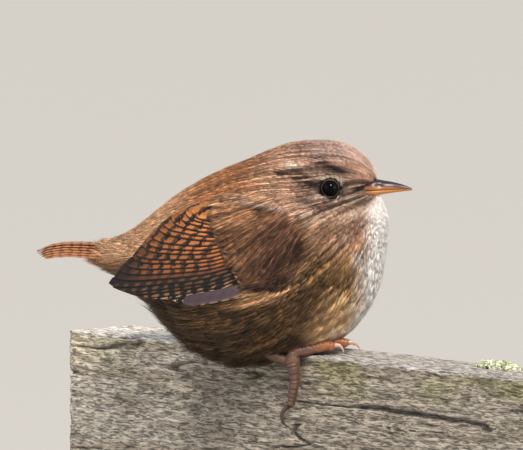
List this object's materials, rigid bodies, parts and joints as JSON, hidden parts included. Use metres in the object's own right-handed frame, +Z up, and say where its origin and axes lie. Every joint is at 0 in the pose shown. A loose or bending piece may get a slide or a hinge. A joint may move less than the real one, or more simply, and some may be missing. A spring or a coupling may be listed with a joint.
{
  "type": "wren model",
  "caption": "Life-size wren, fluffed up and looking ahead, gripping the edge of a short weathered wooden rail on a flat display stand.",
  "frame": {"origin": "centre of the display stand's underside", "axes": "+Z up, +X the way the wren faces, +Y to its left; the rail runs from its back left to its front right"},
  "size_m": [0.1414, 0.1228, 0.1018],
  "materials": {
    "crown_feathers": "matt brown feathers with a pale brow",
    "body_feathers": "matt, downy, buff flanks and pale breast",
    "rump_feathers": "matt rufous feathers",
    "flight_feathers": "satin rufous vanes with dark bars",
    "dark_horn": "glossy dark horn",
    "yellow_horn": "glossy yellow horn",
    "eye": "wet black gloss",
    "leg_skin": "satin scaly skin",
    "weathered_wood": "rough, grey, cracked softwood",
    "stained_wood": "satin dark stain",
    "rod_steel": "brushed"
  },
  "bodies": {
    "root": {"head": "crown_feathers", "neck": "crown_feathers", "torso": "body_feathers", "rump": "rump_feathers", "tail": "flight_feathers", "wing_right": "flight_feathers", "wing_left": "flight_feathers", "beak_upper": "dark_horn", "beak_lower": "yellow_horn", "eye_right": "eye", "eye_left": "eye", "leg_right": "leg_skin", "leg_left": "leg_skin", "foot_right": "leg_skin", "foot_left": "leg_skin", "perch_rail": "weathered_wood", "stand_base": "stained_wood", "stand_rod_near": "rod_steel", "stand_rod_far": "rod_steel"}
  },
  "joints": []
}
